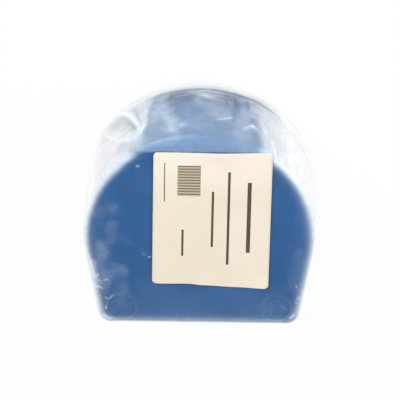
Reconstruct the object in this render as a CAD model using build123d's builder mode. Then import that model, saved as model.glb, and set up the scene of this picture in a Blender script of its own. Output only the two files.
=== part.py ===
"""Hinged denture case: a D-shaped two-shell box in shop wrapping, in millimetres.

Frame: X across the case, +Y towards the flat hinge side, +Z up. The origin is on the resting plane,
straight below the centre of the round front.
"""

import os
from math import acos, asin, atan2, cos, degrees, hypot, radians, sin

from build123d import *

# ---- driving dimensions -------------------------------------------------------------------------
# Plan of the case, taken at the parting line
front_radius = 41.5  # the round front, an arc about the origin
back_offset = 37.0  # from the arc's centre to the flat back
back_half_width = 36.0  # half of the flat back, before its corners are rounded
back_corner_radius = 5.0

# Heights
base_height = 24.0  # the parting line lies here
lid_height = 14.0

# Shells
wall = 1.8
floor_thickness = 2.0
top_thickness = 2.0
draft_angle = 1.0  # degrees, both shells narrow away from the parting line
base_edge_chamfer = 2.0
lid_edge_radius = 2.0

# Lap joint between the shells
lip_height = 2.0
lip_thickness = 0.8
lip_side_clearance = 0.15
lip_top_clearance = 0.2
parting_gap = 0.1

# Ring marks on the lid's top, one in each hinge-side corner
ring_spacing = 56.2
ring_from_back = 7.3
ring_outer_radius = 5.2
ring_inner_radius = 3.7
ring_depth = 0.3

# Hinge: at each station one lid knuckle turns between two base knuckles
hinge_spacing = 40.0
pin_radius = 1.25
pin_running_clearance = 0.08
pin_end_chamfer = 0.3
knuckle_wall = 1.75
knuckle_wall_clearance = 0.4  # between a barrel and the back of the case
lid_knuckle_width = 7.0
base_knuckle_width = 4.0
knuckle_side_clearance = 0.25
web_height = 7.0

# Snap latch at the middle of the round front
latch_width = 14.0
tab_height = 5.0
tab_slope_height = 3.0  # of the tab's height, the part that runs out into the lid's wall
tongue_length = 9.0
tongue_thickness = 1.1
tongue_gap = 0.7  # between the tongue and the base's wall
tongue_corner_radius = 3.0
catch_depth = 4.8  # from the parting line down to the catch rib
catch_height = 1.4
catch_projection = 0.5
catch_extra_width = 1.0
hook_height = 1.8
hook_gap = 0.2  # below the catch rib, and between the hook's tip and the wall's widest radius
hook_tip_height = 0.6

# Shop wrapping: a clear film bag, slit along the parting line, and a paper label on it
film_thickness = 0.3
film_clearance = 0.5
film_front_slack = 2.2  # how much further the loose film stands off the round front
film_top_clearance = 0.2
film_floor_clearance = 0.1
film_top_chamfer = 1.2
film_slit = 0.3
film_window_margin = 1.0  # round each hinge station
label_width = 41.5
label_length = 55.3
label_corner_radius = 1.5
label_thickness = 0.2
label_offset_x = -4.3
label_offset_y = -7.2

# ---- what follows from them ---------------------------------------------------------------------
parting = base_height
case_height = base_height + lid_height
lid_bottom = parting + parting_gap

knuckle_radius = pin_radius + knuckle_wall
hinge_y = back_offset + knuckle_wall_clearance + knuckle_radius
station_width = lid_knuckle_width + 2 * (base_knuckle_width + knuckle_side_clearance)
hinge_stations = (-hinge_spacing / 2, hinge_spacing / 2)

tongue_inner = front_radius + tongue_gap
tongue_outer = tongue_inner + tongue_thickness
tongue_top = lid_bottom + 0.5 * (tab_height - tab_slope_height)
tongue_bottom = parting - tongue_length

film_side = film_clearance + film_thickness
film_top = case_height + film_top_clearance + film_thickness


def tangent_bearing(radius, corner_x, corner_y):
    """The bearing, in degrees, at which a line from that corner touches a circle about the origin."""
    return degrees(atan2(corner_y, corner_x) - acos(radius / hypot(corner_x, corner_y)))


side_bearing = radians(tangent_bearing(front_radius, back_half_width, back_offset))
corner_spread = (1 - sin(side_bearing)) / cos(side_bearing)


def draw_outline(grow=0.0, slack=0.0):
    """The case's D in the current sketch, offset by grow, its round front moved out by slack."""
    radius = front_radius + grow
    corner = (back_half_width + grow * corner_spread, back_offset + grow)
    tangent = tangent_bearing(radius, corner[0], corner[1] + slack)
    with BuildLine() as outline:
        front = CenterArc((0, -slack), radius, 180 - tangent, 180 + 2 * tangent)
        side = Line(front @ 1, corner)
        back = Line(side @ 1, (-corner[0], corner[1]))
        Line(back @ 1, front @ 0)
    face = make_face(outline.edges())
    back_corners = face.vertices().group_by(Axis.Y)[-1]
    fillet(back_corners, back_corner_radius + grow)


def arc_plane(width, radius):
    """A plane through the Z axis at the start of an arc of that width about the front's middle."""
    half_angle = degrees(asin(width / 2 / radius))
    start = radians(270 - half_angle)
    plane = Plane(origin=(0, 0, 0), x_dir=(cos(start), sin(start), 0), z_dir=(sin(start), -cos(start), 0))
    return plane, 2 * half_angle


def draw_knuckle(up):
    """A knuckle seen along the hinge: its barrel, and the curved web that joins it to the back wall."""
    root = back_offset - wall / 2
    near = parting + up * 2 * parting_gap
    barrel_end = (hinge_y, parting + up * knuckle_radius)
    with BuildLine() as web:
        foot = Line((hinge_y, near), (root, near))
        inner = Line(foot @ 1, (root, parting + up * web_height))
        outer = Line(inner @ 1, (back_offset, parting + up * web_height))
        TangentArc(outer @ 1, barrel_end, tangent=(0, -up))
        Line(barrel_end, foot @ 0)
    with Locations((hinge_y, parting)):
        Circle(knuckle_radius)
    make_face(web.edges())


# ---- base shell ---------------------------------------------------------------------------------
catch_plane, catch_arc = arc_plane(latch_width + catch_extra_width, front_radius)
catch_top = parting - catch_depth
catch_bottom = catch_top - catch_height

with BuildPart() as base_shell:
    with BuildSketch(Plane.XY.offset(parting)):
        draw_outline()
    extrude(amount=-base_height, taper=draft_angle)
    chamfer(base_shell.faces().sort_by(Axis.Z)[0].edges(), base_edge_chamfer)

    # lip that stands up inside the lid
    with BuildSketch(Plane.XY.offset(parting)):
        draw_outline(grow=lip_thickness - wall)
    extrude(amount=lip_height)

    # cavity
    with BuildSketch(Plane.XY.offset(parting)):
        draw_outline(grow=-wall)
    extrude(amount=-(base_height - floor_thickness), taper=draft_angle, mode=Mode.SUBTRACT)
    with BuildSketch(Plane.XY.offset(parting)):
        draw_outline(grow=-wall)
    extrude(amount=lip_height, mode=Mode.SUBTRACT)

    # catch rib: a sloped lead-in above, a flat seat for the hook below
    with BuildSketch(catch_plane):
        Polygon(
            (front_radius - wall / 2, catch_top),
            (front_radius, catch_top),
            (front_radius + catch_projection, catch_bottom + catch_height / 3),
            (front_radius + catch_projection, catch_bottom),
            (front_radius - wall / 2, catch_bottom),
            align=None,
        )
    revolve(axis=Axis.Z, revolution_arc=catch_arc)

    # outer knuckles of both stations
    knuckle_step = (lid_knuckle_width + base_knuckle_width) / 2 + knuckle_side_clearance
    for station in hinge_stations:
        for side in (-1, 1):
            with BuildSketch(Plane.YZ.offset(station + side * knuckle_step)):
                draw_knuckle(up=-1)
            extrude(amount=base_knuckle_width / 2, both=True)
    for station in hinge_stations:
        with BuildSketch(Plane.YZ.offset(station)):
            with Locations((hinge_y, parting)):
                Circle(pin_radius)
        extrude(amount=station_width / 2, both=True, mode=Mode.SUBTRACT)

# ---- lid shell ----------------------------------------------------------------------------------
tab_plane, tab_arc = arc_plane(latch_width, front_radius)
rebate_height = lip_height + lip_top_clearance - parting_gap

with BuildPart() as lid_shell:
    with BuildSketch(Plane.XY.offset(lid_bottom)):
        draw_outline()
    extrude(amount=lid_height - parting_gap, taper=draft_angle)
    fillet(lid_shell.faces().sort_by(Axis.Z)[-1].edges(), lid_edge_radius)

    # cavity
    with BuildSketch(Plane.XY.offset(lid_bottom)):
        draw_outline(grow=-wall)
    extrude(amount=lid_height - parting_gap - top_thickness, taper=draft_angle, mode=Mode.SUBTRACT)

    # rebate that drops over the base's lip
    with BuildSketch(Plane.XY.offset(lid_bottom)):
        draw_outline(grow=lip_thickness - wall + lip_side_clearance)
    extrude(amount=rebate_height, mode=Mode.SUBTRACT)

    # ring marks
    with BuildSketch(Plane.XY.offset(case_height)):
        with Locations((0, back_offset - ring_from_back)):
            with GridLocations(ring_spacing, 0, 2, 1):
                Circle(ring_outer_radius)
                Circle(ring_inner_radius, mode=Mode.SUBTRACT)
    extrude(amount=-ring_depth, mode=Mode.SUBTRACT)

    # thumb tab that carries the latch tongue
    with BuildSketch(tab_plane):
        Polygon(
            (front_radius - wall / 3, tongue_top),
            (tongue_outer, tongue_top),
            (tongue_outer, lid_bottom + tab_height - tab_slope_height),
            (front_radius - wall / 3, lid_bottom + tab_height),
            align=None,
        )
    revolve(axis=Axis.Z, revolution_arc=tab_arc)

    # middle knuckle of both stations, bored to run on its pin
    for station in hinge_stations:
        with BuildSketch(Plane.YZ.offset(station)):
            draw_knuckle(up=1)
        extrude(amount=lid_knuckle_width / 2, both=True)
        with BuildSketch(Plane.YZ.offset(station)):
            with Locations((hinge_y, parting)):
                Circle(pin_radius + pin_running_clearance)
        extrude(amount=lid_knuckle_width / 2, both=True, mode=Mode.SUBTRACT)

# ---- latch tongue: moulded with the lid, kept apart because it flexes -----------------------------
hook_top = catch_bottom - hook_gap
hook_bottom = hook_top - hook_height
hook_tip = front_radius + hook_gap / 2

with BuildPart() as latch_tongue:
    with BuildSketch(tab_plane):
        Polygon(
            (tongue_inner, tongue_top),
            (tongue_inner, hook_top),
            (hook_tip, hook_top),
            (hook_tip, hook_top - hook_tip_height),
            (tongue_inner, hook_bottom),
            (tongue_inner, tongue_bottom),
            (tongue_outer, tongue_bottom),
            (tongue_outer, tongue_top),
            align=None,
        )
    revolve(axis=Axis.Z, revolution_arc=tab_arc)
    with BuildSketch(Plane.XZ) as tongue_front:
        with Locations((0, tongue_bottom)):
            Rectangle(latch_width, 2 * tongue_length, align=(Align.CENTER, Align.MIN))
        fillet(tongue_front.vertices().group_by(Axis.Y)[0], tongue_corner_radius)
    extrude(amount=2 * front_radius, mode=Mode.INTERSECT)

# ---- hinge pins: pressed into the base knuckles ---------------------------------------------------
with BuildPart() as hinge_pin_left:
    with BuildSketch(Plane.YZ.offset(hinge_stations[0])):
        with Locations((hinge_y, parting)):
            Circle(pin_radius)
    extrude(amount=station_width / 2, both=True)
    chamfer(hinge_pin_left.faces().filter_by(Axis.X).edges(), pin_end_chamfer)

with BuildPart() as hinge_pin_right:
    add(hinge_pin_left.part)
    mirror(about=Plane.YZ, mode=Mode.REPLACE)

# ---- wrapping -----------------------------------------------------------------------------------
film_parting_low = parting - film_slit / 2
film_parting_high = parting + film_slit / 2

# openings in the film round both hinge stations, as far as the knuckles and their webs reach
with BuildSketch(Plane.XZ.offset(-back_offset + wall)) as hinge_windows:
    with Locations((0, parting)):
        with GridLocations(hinge_spacing, 0, 2, 1):
            Rectangle(station_width + 2 * film_window_margin, 2 * (web_height + film_window_margin))

with BuildPart() as film_lower:
    with BuildSketch(Plane.XY.offset(film_floor_clearance)):
        draw_outline(grow=film_side, slack=film_front_slack)
    extrude(amount=film_parting_low - film_floor_clearance)
    with BuildSketch(Plane.XY.offset(film_floor_clearance)):
        draw_outline(grow=film_clearance, slack=film_front_slack)
    extrude(amount=film_parting_low - film_floor_clearance, mode=Mode.SUBTRACT)
    extrude(hinge_windows.sketch, amount=-2 * wall, mode=Mode.SUBTRACT)

with BuildPart() as film_upper:
    with BuildSketch(Plane.XY.offset(film_parting_high)):
        draw_outline(grow=film_side, slack=film_front_slack)
    extrude(amount=film_top - film_parting_high)
    chamfer(film_upper.faces().sort_by(Axis.Z)[-1].edges(), film_top_chamfer)
    offset(amount=-film_thickness, openings=film_upper.faces().sort_by(Axis.Z)[0])
    extrude(hinge_windows.sketch, amount=-2 * wall, mode=Mode.SUBTRACT)

with BuildPart() as paper_label:
    with BuildSketch(Plane.XY.offset(film_top)):
        with Locations((label_offset_x, label_offset_y)):
            RectangleRounded(label_width, label_length, label_corner_radius)
    extrude(amount=label_thickness)

# ---- export -------------------------------------------------------------------------------------
os.makedirs("parts", exist_ok=True)
base_shell.part.label = "base_shell"
export_step(base_shell.part, "parts/base_shell.step")
lid_shell.part.label = "lid_shell"
export_step(lid_shell.part, "parts/lid_shell.step")
latch_tongue.part.label = "latch_tongue"
export_step(latch_tongue.part, "parts/latch_tongue.step")
hinge_pin_left.part.label = "hinge_pin_left"
export_step(hinge_pin_left.part, "parts/hinge_pin_left.step")
hinge_pin_right.part.label = "hinge_pin_right"
export_step(hinge_pin_right.part, "parts/hinge_pin_right.step")
film_lower.part.label = "film_lower"
export_step(film_lower.part, "parts/film_lower.step")
film_upper.part.label = "film_upper"
export_step(film_upper.part, "parts/film_upper.step")
paper_label.part.label = "paper_label"
export_step(paper_label.part, "parts/paper_label.step")
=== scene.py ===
"""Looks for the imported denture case: moulded blue plastic, clear film bag and paper label, in metres."""

import math
from typing import NamedTuple

import bmesh
import bpy
import numpy as np
from mathutils import Matrix, Vector, noise


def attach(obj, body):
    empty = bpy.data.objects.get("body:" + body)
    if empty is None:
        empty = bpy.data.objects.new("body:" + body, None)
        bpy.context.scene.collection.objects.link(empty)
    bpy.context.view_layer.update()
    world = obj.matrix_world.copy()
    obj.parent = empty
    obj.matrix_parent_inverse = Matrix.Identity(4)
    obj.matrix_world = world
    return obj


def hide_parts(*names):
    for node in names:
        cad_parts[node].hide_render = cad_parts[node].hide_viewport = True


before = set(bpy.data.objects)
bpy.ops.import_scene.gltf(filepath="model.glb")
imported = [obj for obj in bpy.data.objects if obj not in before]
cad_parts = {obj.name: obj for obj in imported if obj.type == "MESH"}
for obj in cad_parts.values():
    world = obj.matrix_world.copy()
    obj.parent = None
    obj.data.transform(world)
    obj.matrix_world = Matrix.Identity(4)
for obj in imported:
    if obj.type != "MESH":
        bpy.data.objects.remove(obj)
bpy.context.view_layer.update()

MM = 0.001

# ---- camera: above the round front, rolled so that the flat hinge side is at the bottom -----------
CAMERA_ELEVATION = math.radians(59.06)
CAMERA_BEARING = math.radians(-1.45)
CAMERA_ROLL = math.radians(182.06)
CAMERA_DISTANCE = 1.0
CAMERA_LENS = 247.43
CAMERA_SENSOR = 36
CAMERA_REACH = 20
CAMERA_TARGET_HEIGHT = 0.019
CAMERA_PAN = (0.00016, -0.00366)  # of the target, to the right and up before the roll


def add_camera():
    """The camera and its lens, from the angles above."""
    e, a = CAMERA_ELEVATION, CAMERA_BEARING
    back = Vector((math.sin(a) * math.cos(e), -math.cos(a) * math.cos(e), math.sin(e)))
    right = Vector((math.cos(a), math.sin(a), 0))
    up = back.cross(right)
    target = Vector((0, 0, CAMERA_TARGET_HEIGHT)) + right * CAMERA_PAN[0] + up * CAMERA_PAN[1]
    c, s = math.cos(CAMERA_ROLL), math.sin(CAMERA_ROLL)
    x_axis = right * c + up * s
    y_axis = up * c - right * s
    data = bpy.data.cameras.new("camera")
    data.lens = CAMERA_LENS
    data.sensor_width = CAMERA_SENSOR
    data.clip_end = CAMERA_REACH
    camera = bpy.data.objects.new("camera", data)
    rotation = Matrix((x_axis, y_axis, back)).transposed().to_4x4()
    camera.matrix_world = Matrix.Translation(target + back * CAMERA_DISTANCE) @ rotation
    bpy.context.scene.collection.objects.link(camera)
    bpy.context.scene.camera = camera


add_camera()


# ---- node helpers -------------------------------------------------------------------------------
class Tree:
    """A short way to write a material's nodes."""

    def __init__(self, name):
        self.material = bpy.data.materials.new(name)
        self.material.use_nodes = True
        self.nodes = self.material.node_tree.nodes
        self.links = self.material.node_tree.links
        self.nodes.clear()
        self.output = self.nodes.new("ShaderNodeOutputMaterial")

    def put(self, socket, value):
        """Sets an input from a number or colour, or links a socket to it."""
        if isinstance(value, bpy.types.NodeSocket):
            self.links.new(value, socket)
        else:
            socket.default_value = value

    def add(self, kind, inputs=None, **settings):
        """A node of that kind; inputs are by name or by number."""
        node = self.nodes.new("ShaderNode" + kind)
        for name, value in settings.items():
            setattr(node, name, value)
        for key, value in (inputs or {}).items():
            self.put(node.inputs[key], value)
        return node

    def math(self, operation, a, b=0.0, clamp=False):
        """One arithmetic step on two numbers or sockets."""
        return self.add("Math", {0: a, 1: b}, operation=operation, use_clamp=clamp).outputs[0]

    def ramp(self, value, low, high, to_low=0.0, to_high=1.0):
        """A smooth step of value from low to high, rescaled."""
        made = self.add("MapRange", interpolation_type="SMOOTHSTEP")
        for index, number in enumerate((value, low, high, to_low, to_high)):
            self.put(made.inputs[index], number)
        return made.outputs[0]

    def noise(self, scale, detail=3.0, roughness=0.5, stretch=(1, 1, 1)):
        """Noise in the object's own coordinates, its scale in features a metre."""
        place = self.add("TexCoord").outputs["Object"]
        mapped = self.add("Mapping", {"Vector": place, "Scale": stretch}).outputs[0]
        inputs = {"Vector": mapped, "Scale": scale, "Detail": detail, "Roughness": roughness}
        return self.add("TexNoise", inputs).outputs["Fac"]

    def mix_colour(self, share, a, b):
        """From colour a to colour b by that share."""
        made = self.add("Mix", data_type="RGBA")
        self.put(made.inputs[0], share)
        self.put(made.inputs[6], a)
        self.put(made.inputs[7], b)
        return made.outputs[2]

    def bump(self, height, distance, strength=1.0, normal=None):
        """A bumped normal, on top of another one where it is given."""
        inputs = {"Height": height, "Distance": distance, "Strength": strength}
        if normal is not None:
            inputs["Normal"] = normal
        return self.add("Bump", inputs).outputs[0]

    def mix(self, share, a, b):
        """From shader a to shader b by that share."""
        return self.add("MixShader", {0: share, 1: a, 2: b}).outputs[0]

    def surface(self, socket):
        """Ends the tree and gives its material."""
        self.links.new(socket, self.output.inputs["Surface"])
        return self.material


def new_object(name, mesh, material):
    """An object in the scene with that mesh and material."""
    made = bpy.data.objects.new(name, mesh)
    mesh.materials.append(material)
    bpy.context.scene.collection.objects.link(made)
    return made


# ---- floor, light -------------------------------------------------------------------------------
FLOOR_HALF = 3.0
FLOOR_PAINT = (0.88, 0.88, 0.88, 1)
FLOOR_WHITE_SHARE = 0.96
LAMP_DISTANCE = 1.2
LAMP_SIZE = 0.6
LAMPS = (  # name, direction and power
    ("key", (0.55, -0.85, 0.8), 10.5),
    ("fill", (-0.9, -0.2, 0.7), 6.0),
)
WORLD_PALE = (0.85, 0.86, 0.88, 1)
WORLD_DIM = (0.26, 0.28, 0.31, 1)
WORLD_PALE_UP_TO = 0.10
WORLD_DIM_FROM = 0.55


def floor_material():
    """A pale floor that reads white to the camera and in reflections, and still takes a faint shadow."""
    t = Tree("floor")
    path = t.add("LightPath").outputs
    seen = t.math("MAXIMUM", path["Is Camera Ray"], path["Is Glossy Ray"])
    seen = t.math("MAXIMUM", seen, path["Is Transmission Ray"])
    share = t.math("MULTIPLY", seen, FLOOR_WHITE_SHARE)
    paint = t.add("BsdfDiffuse", {"Color": FLOOR_PAINT}).outputs[0]
    white = t.add("Emission", {"Color": (1, 1, 1, 1), "Strength": 1.0}).outputs[0]
    return t.surface(t.mix(share, paint, white))


def add_floor():
    """A square of floor round the origin."""
    half = FLOOR_HALF
    mesh = bpy.data.meshes.new("floor")
    corners = [(-half, -half, 0), (half, -half, 0), (half, half, 0), (-half, half, 0)]
    mesh.from_pydata(corners, [], [(0, 1, 2, 3)])
    new_object("floor", mesh, floor_material())


def add_lamp(name, direction, power):
    """A square soft light that faces the object from that direction."""
    data = bpy.data.lights.new(name, "AREA")
    data.shape = "SQUARE"
    data.size = LAMP_SIZE
    data.energy = power
    light = bpy.data.objects.new(name, data)
    light.location = Vector(direction).normalized() * LAMP_DISTANCE
    light.rotation_euler = Vector(direction).to_track_quat("Z", "Y").to_euler()
    bpy.context.scene.collection.objects.link(light)


def add_world():
    """Soft studio surroundings: pale near the floor, dimmer overhead."""
    world = bpy.data.worlds.new("world")
    bpy.context.scene.world = world
    world.use_nodes = True
    nodes, links = world.node_tree.nodes, world.node_tree.links
    direction = nodes.new("ShaderNodeTexCoord").outputs["Generated"]
    split = nodes.new("ShaderNodeSeparateXYZ")
    links.new(direction, split.inputs[0])
    height = nodes.new("ShaderNodeMapRange")
    height.interpolation_type = "SMOOTHSTEP"
    for index, number in enumerate((WORLD_PALE_UP_TO, WORLD_DIM_FROM, 0, 1)):
        height.inputs[index + 1].default_value = number
    links.new(split.outputs["Z"], height.inputs[0])
    tone = nodes.new("ShaderNodeMix")
    tone.data_type = "RGBA"
    links.new(height.outputs[0], tone.inputs[0])
    tone.inputs[6].default_value = WORLD_PALE
    tone.inputs[7].default_value = WORLD_DIM
    links.new(tone.outputs[2], nodes["Background"].inputs["Color"])


add_floor()
for lamp in LAMPS:
    add_lamp(*lamp)
add_world()
bpy.context.scene.view_settings.view_transform = "Standard"


# ---- materials ----------------------------------------------------------------------------------
PLASTICS = (  # material, colour and the nodes that it covers
    ("case_plastic", (0.016, 0.118, 0.325, 1), ("base_shell", "lid_shell", "latch_tongue")),
    ("pin_plastic", (0.014, 0.100, 0.28, 1), ("hinge_pin_left", "hinge_pin_right")),
)
PLASTIC_ROUGHNESS = 0.42
FILM_WHITE = (0.95, 0.96, 0.97, 1)
# FILM_COOL tints the haze with painted light from the blue plastic, FILM_GREY greys it as painted shade
FILM_COOL = (0.47, 0.70, 1, 1)
FILM_GREY = (0.19, 0.21, 0.22, 1)
FILM_GLOSS = 0.035  # mirror share of the film seen straight on
FILM_EDGE_GLOSS = 0.8  # what is added where it is seen edge on
FILM_EDGE_POWER = 4.0  # how soon that falls off
PAPER_DEEP = (0.88, 0.77, 0.595, 1)
PAPER_PALE = (0.93, 0.825, 0.67, 1)
PAPER_FIBRE = (0.95, 0.87, 0.75, 1)
PAPER_LIT = (0.99, 0.895, 0.78, 1)  # paler towards the round front
PAPER_LIT_FROM = -0.012
PAPER_LIT_TO = -0.036


def plastic(name, colour):
    """Moulded polypropylene: a soft gloss with flow marks, fine texture and a few light scratches."""
    t = Tree(name)
    cloud = t.noise(55, 3, 0.55)
    flow = t.noise(120, 4, 0.6, (1, 0.12, 1))
    fine = t.noise(2600, 2, 0.5)
    scratch = t.noise(900, 2, 0.4, (1, 0.035, 1))
    pale = tuple(min(1, 1.25 * c + 0.012) for c in colour[:3]) + (1,)
    deep = tuple(0.86 * c for c in colour[:3]) + (1,)
    tone = t.mix_colour(t.ramp(cloud, 0.3, 0.7), deep, colour)
    tone = t.mix_colour(t.ramp(flow, 0.52, 0.8, 0, 0.35), tone, pale)
    tone = t.mix_colour(t.ramp(scratch, 0.70, 0.78, 0, 0.25), tone, pale)
    gloss = t.ramp(flow, 0.3, 0.7, PLASTIC_ROUGHNESS - 0.05, PLASTIC_ROUGHNESS + 0.06)
    gloss = t.math("ADD", gloss, t.ramp(fine, 0.3, 0.7, -0.03, 0.03))
    normal = t.bump(fine, 0.00002, 0.35)
    normal = t.bump(cloud, 0.0003, 0.5, normal)
    shader = t.add("BsdfPrincipled", {"Base Color": tone, "Roughness": gloss, "Normal": normal,
                                      "IOR": 1.49, "Specular IOR Level": 0.42})
    return t.surface(shader.outputs[0])


def clear_film():
    """Clear wrapping film: nearly invisible where it lies flat, white and silvery where it is crumpled."""
    t = Tree("clear_film")
    # haze: the film's milkiness, with painted highlights, a painted reflection and painted light drawn into
    # it
    haze_and_painted_light = t.add("Attribute", attribute_name="haze_and_painted_light").outputs["Fac"]
    shade = t.add("Attribute", attribute_name="shade").outputs["Fac"]
    cool = t.add("Attribute", attribute_name="cool").outputs["Fac"]
    crumple = t.noise(420, 4, 0.6, (1, 1, 0.5))
    wrinkle = t.noise(1300, 3, 0.6, (0.6, 1, 0.45))
    normal = t.bump(crumple, 0.0012, 0.09)
    normal = t.bump(wrinkle, 0.0003, 0.16, normal)
    spread = t.math("MULTIPLY", haze_and_painted_light, t.ramp(crumple, 0.3, 0.7, 0.93, 1.07), clamp=True)
    # painted light and shade: cool gives the plastic's blue sent back through the haze, shade greys it
    # where folds are in shade
    tint = t.mix_colour(cool, FILM_WHITE, FILM_COOL)
    tint = t.mix_colour(shade, tint, FILM_GREY)
    milky = t.add("BsdfPrincipled", {"Base Color": tint, "Roughness": 0.5, "Normal": normal,
                                     "Specular IOR Level": 0.3}).outputs[0]
    clear = t.add("BsdfTransparent", {"Color": (1, 1, 1, 1)}).outputs[0]
    blur = t.ramp(haze_and_painted_light, 0.05, 0.35, 0.12, 0.38)
    shine = t.add("BsdfGlossy", {"Color": (1, 1, 1, 1), "Roughness": blur, "Normal": normal}).outputs[0]
    facing = t.add("LayerWeight", {"Blend": 0.5, "Normal": normal}).outputs["Facing"]
    edge = t.math("MULTIPLY", t.math("POWER", facing, FILM_EDGE_POWER), FILM_EDGE_GLOSS)
    edge = t.math("ADD", edge, FILM_GLOSS, clamp=True)
    body = t.mix(spread, clear, milky)
    return t.surface(t.mix(edge, body, shine))


def paper():
    """Uncoated cream label paper with a little fibre and a slightly uneven tone."""
    t = Tree("label_paper")
    fibre = t.noise(2200, 4, 0.65, (1, 0.35, 1))
    cloud = t.noise(40, 2, 0.5)
    tone = t.mix_colour(t.ramp(cloud, 0.3, 0.7), PAPER_DEEP, PAPER_PALE)
    front = t.add("SeparateXYZ", {0: t.add("TexCoord").outputs["Object"]}).outputs["Y"]
    tone = t.mix_colour(t.ramp(front, PAPER_LIT_TO, PAPER_LIT_FROM, 0.8, 0), tone, PAPER_LIT)
    tone = t.mix_colour(t.ramp(fibre, 0.35, 0.7, 0, 0.22), tone, PAPER_FIBRE)
    normal = t.bump(fibre, 0.00003, 0.5)
    shader = t.add("BsdfPrincipled", {"Base Color": tone, "Roughness": 0.62, "Normal": normal,
                                      "Specular IOR Level": 0.3})
    return t.surface(shader.outputs[0])


def ink(name, colour, worn_colour):
    """Thermal print that lets a little of the paper through."""
    t = Tree(name)
    worn = t.noise(3200, 3, 0.6)
    tone = t.mix_colour(t.ramp(worn, 0.4, 0.72), colour, worn_colour)
    shader = t.add("BsdfPrincipled", {"Base Color": tone, "Roughness": 0.55})
    return t.surface(shader.outputs[0])


for plastic_name, plastic_colour, node_names in PLASTICS:
    plastic_material = plastic(plastic_name, plastic_colour)
    for node_name in node_names:
        node_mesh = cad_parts[node_name].data
        node_mesh.materials.clear()
        node_mesh.materials.append(plastic_material)
film = clear_film()


# ---- the D outline, in millimetres ---------------------------------------------------------------
FRONT_RADIUS = 41.5
BACK_OFFSET = 37.0
BACK_HALF_WIDTH = 36.0
BACK_CORNER_RADIUS = 5.0
PARTING = 24.0
CASE_HEIGHT = 38.0
RIM_ROUND = 2.0  # the lid's rounded edge
DRAFT = math.tan(math.radians(1))
HINGE_OFFSET = 20.0
OUTLINE_STEP = 0.5  # between the film's columns


def trace_outline(step):
    """Rows of x, y, outward normal x and y, and the way from the middle of the round front, positive
    towards +X, from the middle of the flat back round to it again; and half the way round."""
    corner = Vector((BACK_HALF_WIDTH, BACK_OFFSET))
    tangent = math.atan2(corner.y, corner.x) - math.acos(FRONT_RADIUS / corner.length)
    r = BACK_CORNER_RADIUS
    centre_y = BACK_OFFSET - r
    centre_x = (FRONT_RADIUS - r - centre_y * math.sin(tangent)) / math.cos(tangent)
    touch = Vector((math.cos(tangent), math.sin(tangent))) * FRONT_RADIUS
    side_end = Vector((centre_x + r * math.cos(tangent), centre_y + r * math.sin(tangent)))
    arc_length = (math.pi / 2 + tangent) * FRONT_RADIUS
    side_length = (side_end - touch).length
    corner_length = (math.pi / 2 - tangent) * r
    half = arc_length + side_length + corner_length + centre_x
    count = int(round(half / step))
    rows = []
    for i in range(-count, count):
        s = half * i / count
        way = abs(s)
        if way <= arc_length:
            angle = way / FRONT_RADIUS
            normal = Vector((math.sin(angle), -math.cos(angle)))
            point = normal * FRONT_RADIUS
        elif way <= arc_length + side_length:
            normal = Vector((math.cos(tangent), math.sin(tangent)))
            point = touch.lerp(side_end, (way - arc_length) / side_length)
        elif way <= arc_length + side_length + corner_length:
            angle = tangent + (way - arc_length - side_length) / r
            normal = Vector((math.cos(angle), math.sin(angle)))
            point = Vector((centre_x, centre_y)) + normal * r
        else:
            normal = Vector((0, 1))
            point = Vector((centre_x - (way - arc_length - side_length - corner_length), BACK_OFFSET))
        sign = 1 if s >= 0 else -1
        rows.append((sign * point.x, point.y, sign * normal.x, normal.y, s))
    return np.array(rows), half


outline, half_length = trace_outline(OUTLINE_STEP)
edge_x, edge_y, out_x, out_y, way_round = outline.T
columns = len(outline)


# ---- shapes and noise -----------------------------------------------------------------------------
def smooth(value, low, high):
    """A smooth step from 0 at low to 1 at high."""
    t = np.clip((value - low) / (high - low), 0, 1)
    return t * t * (3 - 2 * t)


def fractal(points, scale, octaves=3, seed=0.0):
    """Fractal noise at each point, from about -1 to 1; scale in features a millimetre."""
    shift = Vector((seed * 17.3, seed * 5.1, seed * 9.7))
    return np.array([noise.fractal(Vector(p) * scale + shift, 0.9, 2.0, octaves) for p in points])


def creases(points, scale, seed=0.0):
    """Ridges as crumpled film has, 1 on their sharp crests."""
    return 1 - np.abs(fractal(points, scale, 3, seed)) * 2.2


def along(points, path):
    """Distance of each 2-D point from a polyline, and how far along the line it is, from 0 to 1."""
    path = np.array(path, float)
    lengths = np.hypot(*np.diff(path, axis=0).T)
    start = np.concatenate([[0], np.cumsum(lengths)])
    best = np.full(len(points), 1e9)
    place = np.zeros(len(points))
    for a, b, length, before in zip(path[:-1], path[1:], lengths, start):
        t = np.clip(((points - a) @ (b - a)) / length**2, 0, 1)
        away = np.hypot(*(points - (a + t[:, None] * (b - a))).T)
        nearer = away < best
        best = np.where(nearer, away, best)
        place = np.where(nearer, (before + t * length) / start[-1], place)
    return best, place


def inside(points, corners, edge):
    """From 0 to 1 inside a convex outline with clockwise corners and a soft edge."""
    depth = np.full(len(points), 1e9)
    for a, b in zip(np.array(corners), np.roll(corners, -1, axis=0)):
        side = (b - a) / np.hypot(*(b - a))
        away = points - a
        depth = np.minimum(depth, away[:, 0] * side[1] - away[:, 1] * side[0])
    return smooth(depth, -edge, edge)


class Fold(NamedTuple):
    """One fold or smudge: its path, half widths spread evenly along it, how far the film stands out there,
    how much whiter it looks, partly haze and on bright creases a painted highlight, and how much painted
    shade it has; a negative number means in, less white or a painted highlight."""

    path: list
    widths: tuple
    out: float = 0.0
    white: float = 0.0
    painted_shade: float = 0.0


NARROW = 1.1  # folds with a smaller half width than this are sharp creases
WIDE_EDGE = 2.4  # how sharply the wider ones end


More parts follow.
